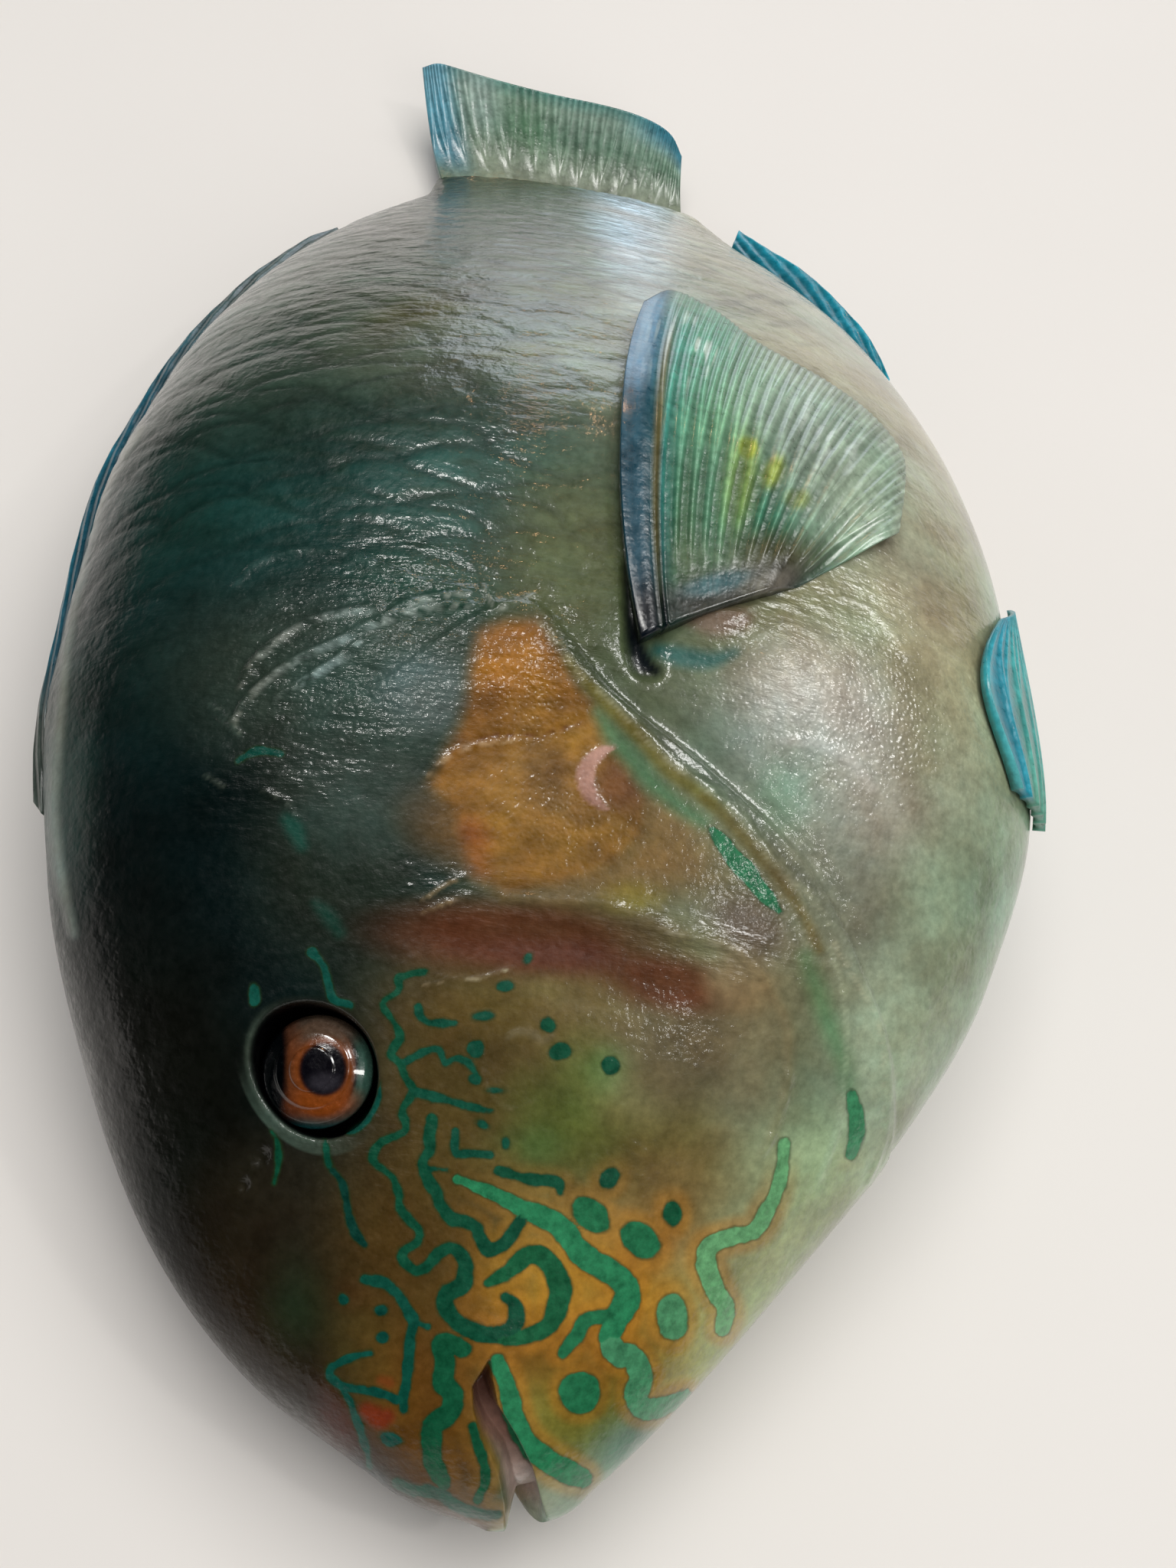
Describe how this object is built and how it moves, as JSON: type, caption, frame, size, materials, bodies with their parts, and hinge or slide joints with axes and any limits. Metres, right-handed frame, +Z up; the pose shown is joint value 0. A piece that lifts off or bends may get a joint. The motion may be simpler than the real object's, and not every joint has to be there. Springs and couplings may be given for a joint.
{
  "type": "parrotfish",
  "caption": "Life-size parrotfish lying on its right side, deep-bodied, with folded fins, gill covers, parted lips and sunken eyes; a still display model.",
  "frame": {"origin": "on the floor, under the middle of the fish's box", "axes": "+Y from the snout to the tail, -X towards the back, +Z up through the left flank"},
  "size_m": [0.1714, 0.3154, 0.0784],
  "materials": {
    "head_skin": "wet, glossy scaled skin, amber and olive with an emerald maze",
    "body_skin": "wet, glossy scaled skin, dark teal fading to grey green",
    "fin": "wet fin membrane and rays, turquoise edged",
    "eye": "clear wet cornea over an amber iris"
  },
  "bodies": {
    "root": {"head": "head_skin", "lower_jaw": "head_skin", "gill_cover_left": "head_skin", "gill_cover_right": "head_skin", "trunk": "body_skin", "tail_stalk": "body_skin", "eye_left": "eye", "eye_right": "eye", "dorsal_fin": "fin", "anal_fin": "fin", "caudal_fin": "fin", "pectoral_fin_left": "fin", "pectoral_fin_right": "fin", "pelvic_fin_left": "fin", "pelvic_fin_right": "fin"}
  },
  "joints": []
}
